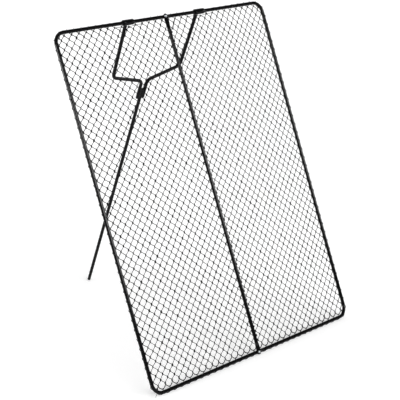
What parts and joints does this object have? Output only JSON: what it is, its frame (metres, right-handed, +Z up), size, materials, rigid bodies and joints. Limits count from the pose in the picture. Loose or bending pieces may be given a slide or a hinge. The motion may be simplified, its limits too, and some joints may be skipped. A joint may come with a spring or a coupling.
{
  "type": "golf chipping net",
  "caption": "Free-standing chipping net: a leaning rounded tube frame with a laced net and a centre bar, held up by a folding rear stand.",
  "frame": {"origin": "on the floor, in the middle of the box round the part as it stands open", "axes": "+X to the right along the rails, seen from in front of the net; +Y from the net's front towards the leg behind it; +Z up"},
  "size_m": [0.7654, 0.7592, 0.8954],
  "materials": {
    "black_enamel": "glossy black enamel on steel tube",
    "zinc_plate": "bright zinc plate",
    "net_twine": "black twisted twine, knotted",
    "lacing_cord": "black twisted cord",
    "tip_plastic": "smooth black plastic"
  },
  "bodies": {
    "net_frame": {"frame_left": "black_enamel", "frame_right": "black_enamel", "centre_bar": "black_enamel", "bar_screws": "zinc_plate", "bar_nuts": "zinc_plate", "net": "net_twine", "lacing_bottom": "lacing_cord", "lacing_left": "lacing_cord", "lacing_right": "lacing_cord", "lacing_top_left": "lacing_cord", "lacing_top_middle": "lacing_cord", "lacing_top_right": "lacing_cord"},
    "stand": {"left_sleeve": "black_enamel", "right_sleeve": "black_enamel", "left_arm": "black_enamel", "right_arm": "black_enamel", "leg": "black_enamel", "leg_tip": "tip_plastic", "sleeve_welds": "black_enamel", "leg_welds": "black_enamel"}
  },
  "joints": [
    {"name": "stand_fold", "type": "hinge", "parent": "net_frame", "child": "stand", "pos_m": [0, 0.00325, 0.88595], "axis": [1, 0, 0], "range_deg": [-44.5, 0]}
  ]
}
